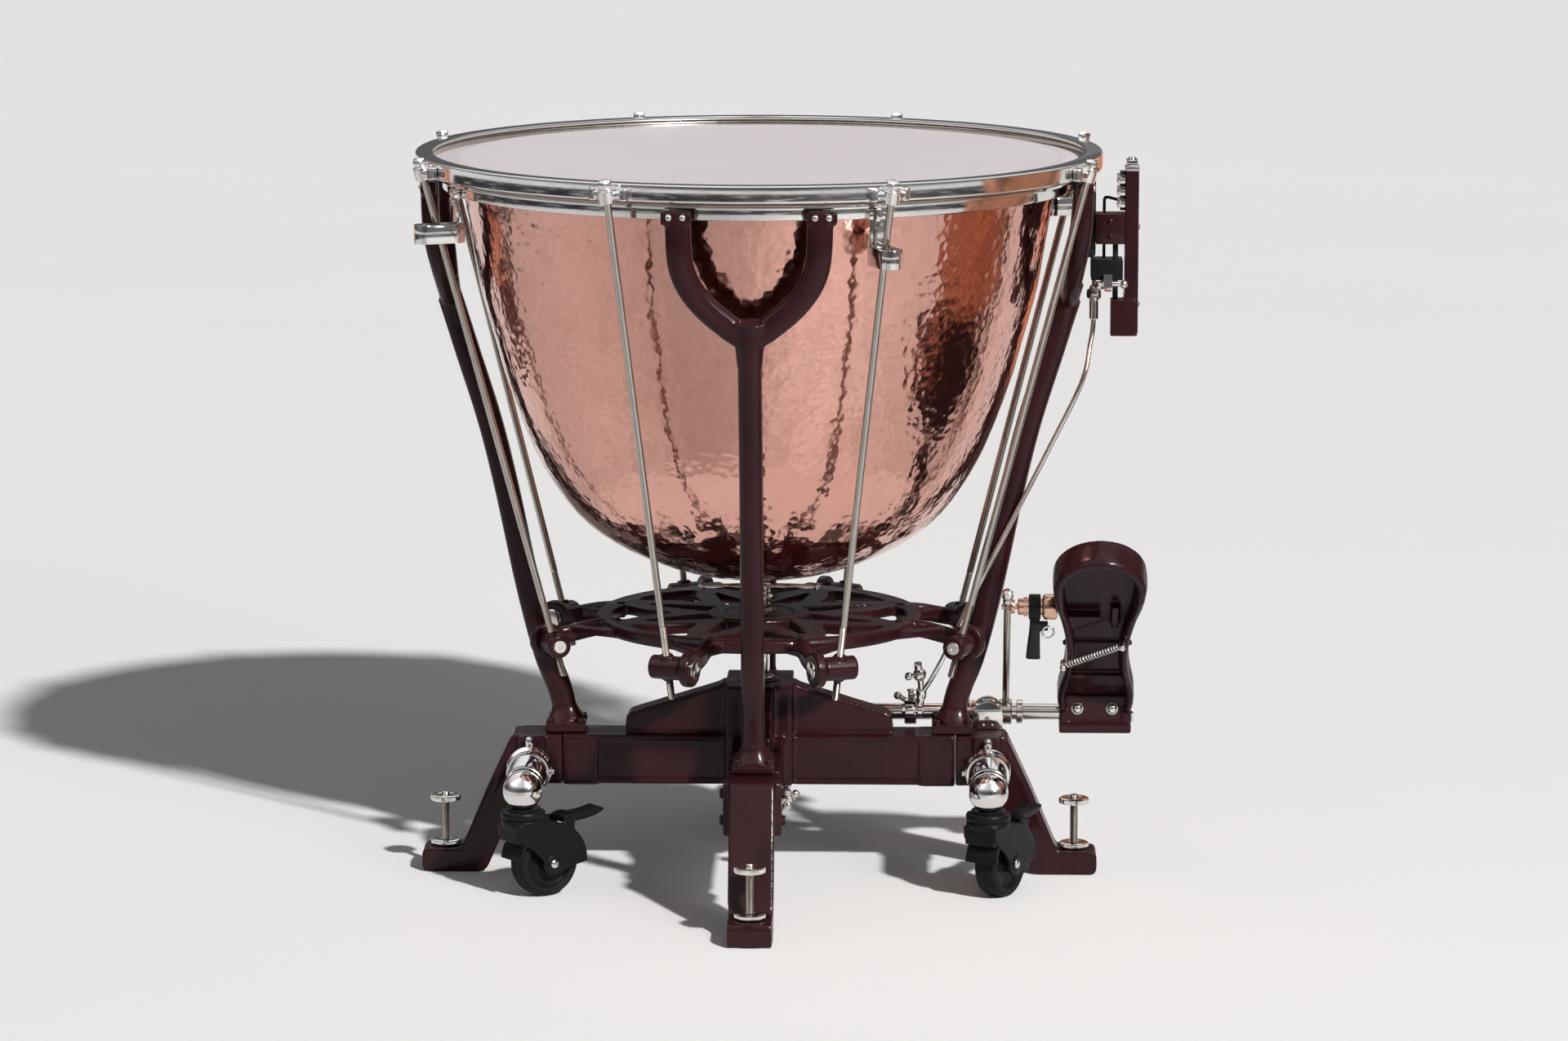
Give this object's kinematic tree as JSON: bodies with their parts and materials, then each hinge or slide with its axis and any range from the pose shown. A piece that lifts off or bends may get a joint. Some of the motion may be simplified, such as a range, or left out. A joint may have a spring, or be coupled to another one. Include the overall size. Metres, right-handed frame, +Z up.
{
  "type": "timpani drum",
  "caption": "Pedal kettledrum: hammered copper bowl with an extended-collar head, hung in forked cast struts on a cross base with side pedal, tuning gauge, levelling feet and casters.",
  "frame": {"origin": "centre of the drum's footprint box on the floor; the kettle's axis stands 23 mm to -X of it", "axes": "+Z up, +X towards the foot pedal and the tuning gauge, -Y towards the front leg, so the player stands at +Y"},
  "size_m": [0.7922, 0.746, 0.81],
  "materials": {
    "copper": "hammered polished copper",
    "chrome": "polished chrome",
    "steel": "satin steel",
    "bronze": "satin bronze",
    "head_film": "translucent coated polyester film",
    "wine_casting": "satin dark wine-red powder coat on cast metal",
    "black_paint": "satin black paint",
    "black_plastic": "moulded black nylon",
    "tyre": "solid black rubber tread"
  },
  "bodies": {
    "root": {"kettle_bowl": "copper", "suspension_ring": "chrome", "drumhead": "head_film", "strut_front": "wine_casting", "strut_right": "wine_casting", "strut_back": "wine_casting", "strut_left": "wine_casting", "base_hub": "wine_casting", "leg_front": "wine_casting", "leg_right": "wine_casting", "leg_left": "wine_casting", "rear_caster_block": "wine_casting", "caster_tube_left": "chrome", "caster_tube_right": "chrome", "shaft_bearing": "chrome", "gauge_bracket": "black_paint", "gauge_arm": "wine_casting", "gauge_rail": "wine_casting", "rod_guide_1": "chrome", "rod_guide_2": "chrome", "rod_guide_3": "chrome", "rod_guide_4": "chrome"},
    "tension_frame": {"counterhoop": "chrome", "flesh_hoop": "steel", "spider": "wine_casting", "pull_column": "chrome", "tension_rod_1": "chrome", "tension_rod_2": "chrome", "tension_rod_3": "chrome", "tension_rod_4": "chrome", "tension_rod_5": "chrome", "tension_rod_6": "chrome", "tension_rod_7": "chrome", "tension_rod_8": "chrome"},
    "fine_tuner": {"fine_tuner": "chrome"},
    "pedal": {"foot_pedal": "wine_casting", "pedal_heel_block": "wine_casting", "pedal_shaft": "chrome", "gauge_crank": "chrome", "clutch_rod": "steel", "clutch_barrel": "bronze", "clutch_spring": "steel"},
    "clutch_lever": {"clutch_lever": "black_plastic"},
    "gauge_link": {"gauge_link": "chrome"},
    "gauge_pointer": {"gauge_pointer": "black_paint"},
    "levelling_screw_front": {"levelling_screw_front": "chrome"},
    "lock_nut_front": {"lock_nut_front": "chrome"},
    "levelling_screw_right": {"levelling_screw_right": "chrome"},
    "lock_nut_right": {"lock_nut_right": "chrome"},
    "levelling_screw_left": {"levelling_screw_left": "chrome"},
    "lock_nut_left": {"lock_nut_left": "chrome"},
    "caster_left": {"caster_yoke_left": "black_plastic"},
    "wheel_left": {"caster_wheel_left": "tyre"},
    "brake_left": {"brake_lever_left": "black_plastic"},
    "caster_right": {"caster_yoke_right": "black_plastic"},
    "wheel_right": {"caster_wheel_right": "tyre"},
    "brake_right": {"brake_lever_right": "black_plastic"},
    "caster_rear": {"caster_yoke_rear": "black_plastic"},
    "wheel_rear": {"caster_wheel_rear": "tyre"},
    "brake_rear": {"brake_lever_rear": "black_plastic"}
  },
  "joints": [
    {"name": "pedal_pivot", "type": "hinge", "parent": "root", "child": "pedal", "pos_m": [0.1768, 0.035, 0.172], "axis": [1, 0, 0], "range_deg": [0, 25]},
    {"name": "head_pull", "type": "slide", "parent": "root", "child": "tension_frame", "axis": [0, 0, -1], "range_m": [0, 0.0053]},
    {"name": "fine_tuner_turn", "type": "hinge", "parent": "tension_frame", "child": "fine_tuner", "pos_m": [-0.0232, 0, 0.31], "axis": [0, 0, 1], "continuous": true},
    {"name": "gauge_link_slide", "type": "slide", "parent": "root", "child": "gauge_link", "axis": [0, 0, -1], "range_m": [0, 0.019]},
    {"name": "gauge_pointer_slide", "type": "slide", "parent": "root", "child": "gauge_pointer", "axis": [0, 0, -1], "range_m": [0, 0.019]},
    {"name": "clutch_release", "type": "hinge", "parent": "pedal", "child": "clutch_lever", "pos_m": [0.2783, -0.08263, 0.31219], "axis": [1, 0, 0], "range_deg": [0, 20], "stiffness_Nm_per_rad": 0.4, "springref_deg": -20.05},
    {"name": "levelling_screw_front_travel", "type": "slide", "parent": "root", "child": "levelling_screw_front", "axis": [0, 0, -1], "range_m": [0, 0.012]},
    {"name": "lock_nut_front_turn", "type": "hinge", "parent": "root", "child": "lock_nut_front", "pos_m": [-0.0232, -0.348, 0.03], "axis": [0, 0, 1], "continuous": true},
    {"name": "levelling_screw_right_travel", "type": "slide", "parent": "root", "child": "levelling_screw_right", "axis": [0, 0, -1], "range_m": [0, 0.012]},
    {"name": "lock_nut_right_turn", "type": "hinge", "parent": "root", "child": "lock_nut_right", "pos_m": [0.3248, 0, 0.03], "axis": [0, 0, 1], "continuous": true},
    {"name": "levelling_screw_left_travel", "type": "slide", "parent": "root", "child": "levelling_screw_left", "axis": [0, 0, -1], "range_m": [0, 0.012]},
    {"name": "lock_nut_left_turn", "type": "hinge", "parent": "root", "child": "lock_nut_left", "pos_m": [-0.3712, 0, 0.03], "axis": [0, 0, 1], "continuous": true},
    {"name": "caster_left_swivel", "type": "hinge", "parent": "root", "child": "caster_left", "pos_m": [-0.2752, -0.145, 0.09], "axis": [0, 0, 1], "continuous": true},
    {"name": "wheel_left_roll", "type": "hinge", "parent": "caster_left", "child": "wheel_left", "pos_m": [-0.25392, -0.12838, 0.0375], "axis": [-0.6157, 0.788, 0], "continuous": true},
    {"name": "brake_left_press", "type": "hinge", "parent": "caster_left", "child": "brake_left", "pos_m": [-0.23738, -0.11545, 0.081], "axis": [-0.6157, 0.788, 0], "range_deg": [0, 15]},
    {"name": "caster_right_swivel", "type": "hinge", "parent": "root", "child": "caster_right", "pos_m": [0.2288, -0.145, 0.09], "axis": [0, 0, 1], "continuous": true},
    {"name": "wheel_right_roll", "type": "hinge", "parent": "caster_right", "child": "wheel_right", "pos_m": [0.2423, -0.12162, 0.0375], "axis": [-0.866, 0.5, 0], "continuous": true},
    {"name": "brake_right_press", "type": "hinge", "parent": "caster_right", "child": "brake_right", "pos_m": [0.2528, -0.10343, 0.081], "axis": [-0.866, 0.5, 0], "range_deg": [0, 15]},
    {"name": "caster_rear_swivel", "type": "hinge", "parent": "root", "child": "caster_rear", "pos_m": [-0.0232, 0.24, 0.09], "axis": [0, 0, 1], "continuous": true},
    {"name": "wheel_rear_roll", "type": "hinge", "parent": "caster_rear", "child": "wheel_rear", "pos_m": [-0.01851, 0.26659, 0.0375], "axis": [-0.9848, 0.1736, 0], "continuous": true},
    {"name": "brake_rear_press", "type": "hinge", "parent": "caster_rear", "child": "brake_rear", "pos_m": [-0.01486, 0.28727, 0.081], "axis": [-0.9848, 0.1736, 0], "range_deg": [0, 15]}
  ],
  "couplings": [
    {"joint": "head_pull", "follows": "pedal_pivot", "m_per_rad": 0.011622},
    {"joint": "gauge_link_slide", "follows": "pedal_pivot", "m_per_rad": 0.041668},
    {"joint": "gauge_pointer_slide", "follows": "pedal_pivot", "m_per_rad": 0.041668}
  ]
}
